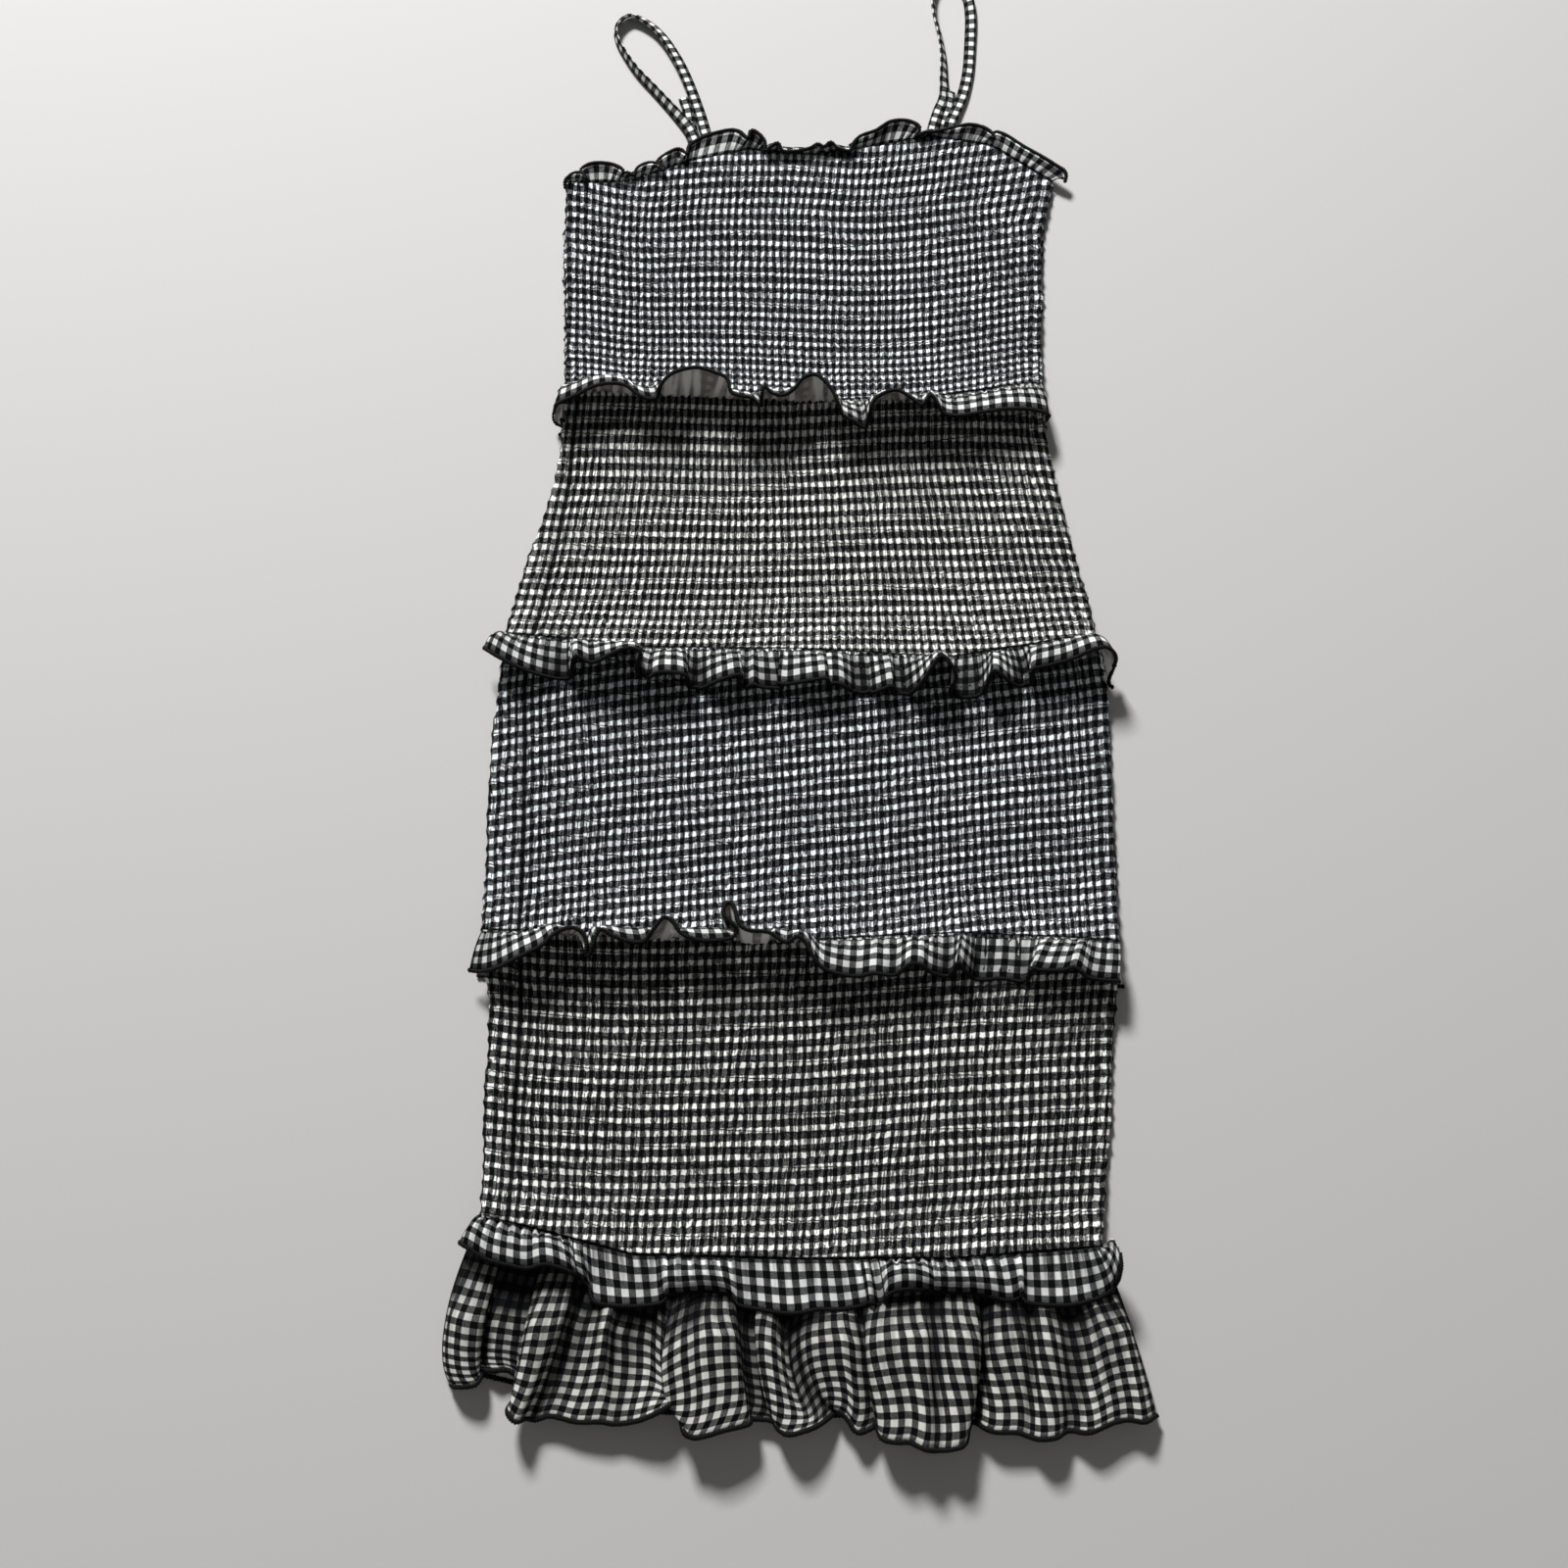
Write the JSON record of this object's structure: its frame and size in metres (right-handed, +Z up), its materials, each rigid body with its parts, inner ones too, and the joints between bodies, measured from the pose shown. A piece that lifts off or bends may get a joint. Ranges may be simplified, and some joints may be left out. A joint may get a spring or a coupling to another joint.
{
  "type": "bodycon dress",
  "caption": "Strappy shirred gingham bodycon dress laid flat on its back, with frilled seams, a frilled neck edge and a gathered hem flounce.",
  "frame": {"origin": "middle of the dress's box, on the surface that it lies on", "axes": "+Z up from the surface, the dress's front face up; +Y along the dress from the hem to the neckline; +X across it, to the right as seen from above"},
  "size_m": [0.3614, 0.9129, 0.0396],
  "materials": {
    "shirred_gingham": "matte",
    "plain_gingham": "matte",
    "strap_gingham": "matte",
    "merrow_thread": "matte",
    "elastic_thread": "matte"
  },
  "bodies": {
    "root": {"bodice_front": "shirred_gingham", "bodice_back": "shirred_gingham", "waist_tier_front": "shirred_gingham", "waist_tier_back": "shirred_gingham", "hip_tier_front": "shirred_gingham", "hip_tier_back": "shirred_gingham", "thigh_tier_front": "shirred_gingham", "thigh_tier_back": "shirred_gingham", "neck_frill_front": "plain_gingham", "neck_frill_back": "plain_gingham", "waist_frill_front": "plain_gingham", "waist_frill_back": "plain_gingham", "hip_frill_front": "plain_gingham", "hip_frill_back": "plain_gingham", "thigh_frill_front": "plain_gingham", "thigh_frill_back": "plain_gingham", "hem_frill_front": "plain_gingham", "hem_frill_back": "plain_gingham", "flounce_front": "plain_gingham", "flounce_back": "plain_gingham", "strap_left": "strap_gingham", "strap_right": "strap_gingham"}
  },
  "joints": []
}
